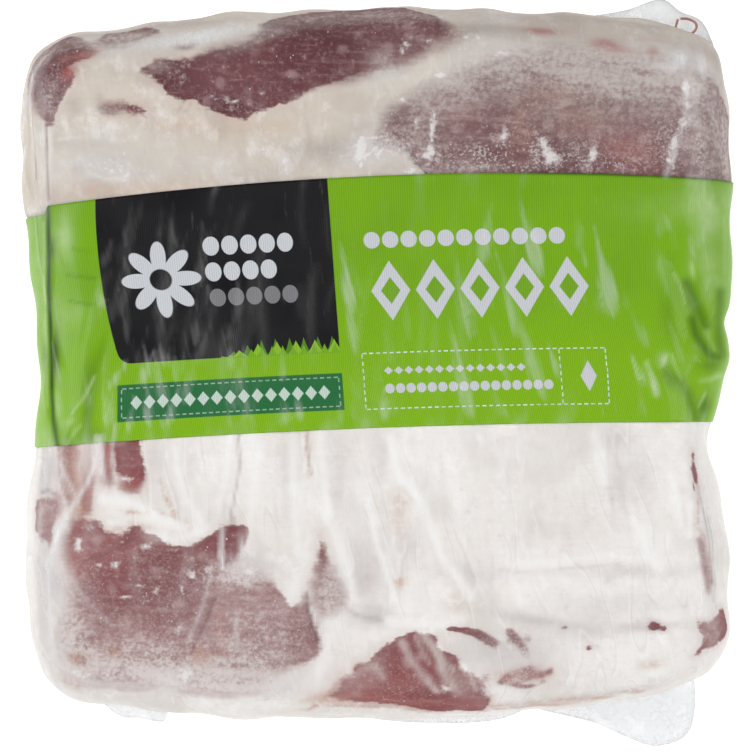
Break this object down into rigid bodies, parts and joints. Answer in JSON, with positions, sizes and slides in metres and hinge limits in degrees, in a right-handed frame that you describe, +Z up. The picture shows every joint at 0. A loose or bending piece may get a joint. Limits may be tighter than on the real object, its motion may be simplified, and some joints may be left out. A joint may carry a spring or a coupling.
{
  "type": "vacuum-packed raw lamb",
  "caption": "Flat frozen block of raw lamb sealed in a clear vacuum bag with film corners and a printed green band round its middle.",
  "frame": {"origin": "middle of the pack's bounding box, on the surface that it rests on", "axes": "+Z up out of the printed face, +X across the pack along the band, +Y from the near edge to the far edge"},
  "size_m": [0.236, 0.248, 0.0562],
  "materials": {
    "raw_lamb": "ivory fat and dark red muscle under tight film, with a light bloom of frost",
    "printed_band": "green print with a charcoal panel and a teal strip, under glossy film",
    "clear_film": "clear crinkled vacuum bag film"
  },
  "bodies": {
    "root": {"vacuum_pack": "raw_lamb", "printed_band": "printed_band"}
  },
  "joints": []
}
